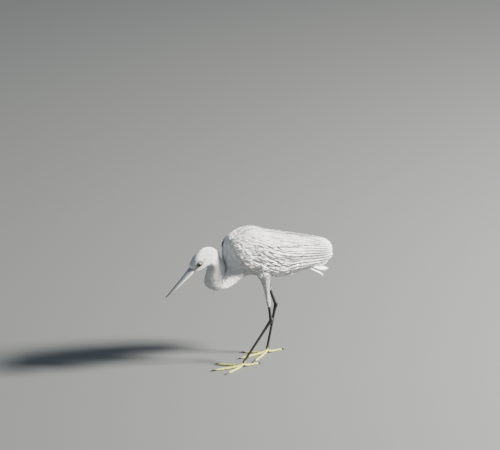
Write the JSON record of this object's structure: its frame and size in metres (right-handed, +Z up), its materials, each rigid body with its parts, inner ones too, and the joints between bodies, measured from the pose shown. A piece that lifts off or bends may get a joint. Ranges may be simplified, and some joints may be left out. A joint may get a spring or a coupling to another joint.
{
  "type": "little egret",
  "caption": "Life-size still model of a little egret standing on level ground, leaning forward with its neck drawn in and its bill pointing down.",
  "frame": {"origin": "centre of the bird's box at the level of its soles", "axes": "-X is the way the bird faces, +X towards the tail, +Y the bird's right, +Z up"},
  "size_m": [0.3868, 0.0964, 0.2999],
  "materials": {
    "plumage": "soft white feathers",
    "bill": "dark grey horn, satin, paler at the base of the lower half",
    "eye": "wet yellow iris round a black pupil",
    "leg": "black scaled skin, satin",
    "toe": "greenish yellow scaled skin, satin",
    "claw": "black horn, satin"
  },
  "bodies": {
    "root": {"head": "plumage", "eye_left": "eye", "eye_right": "eye", "bill_upper": "bill", "bill_lower": "bill", "neck_upper": "plumage", "neck_middle": "plumage", "neck_lower": "plumage", "trunk": "plumage", "wing_left": "plumage", "flight_feathers_left": "plumage", "wing_right": "plumage", "flight_feathers_right": "plumage", "tail": "plumage", "thigh_left": "plumage", "shank_left": "leg", "tarsus_left": "leg", "thigh_right": "plumage", "shank_right": "leg", "tarsus_right": "leg", "toe_inner_left": "toe", "claw_inner_left": "claw", "toe_middle_left": "toe", "claw_middle_left": "claw", "toe_outer_left": "toe", "claw_outer_left": "claw", "toe_hind_left": "toe", "claw_hind_left": "claw", "toe_inner_right": "toe", "claw_inner_right": "claw", "toe_middle_right": "toe", "claw_middle_right": "claw", "toe_outer_right": "toe", "claw_outer_right": "claw", "toe_hind_right": "toe", "claw_hind_right": "claw"}
  },
  "joints": []
}
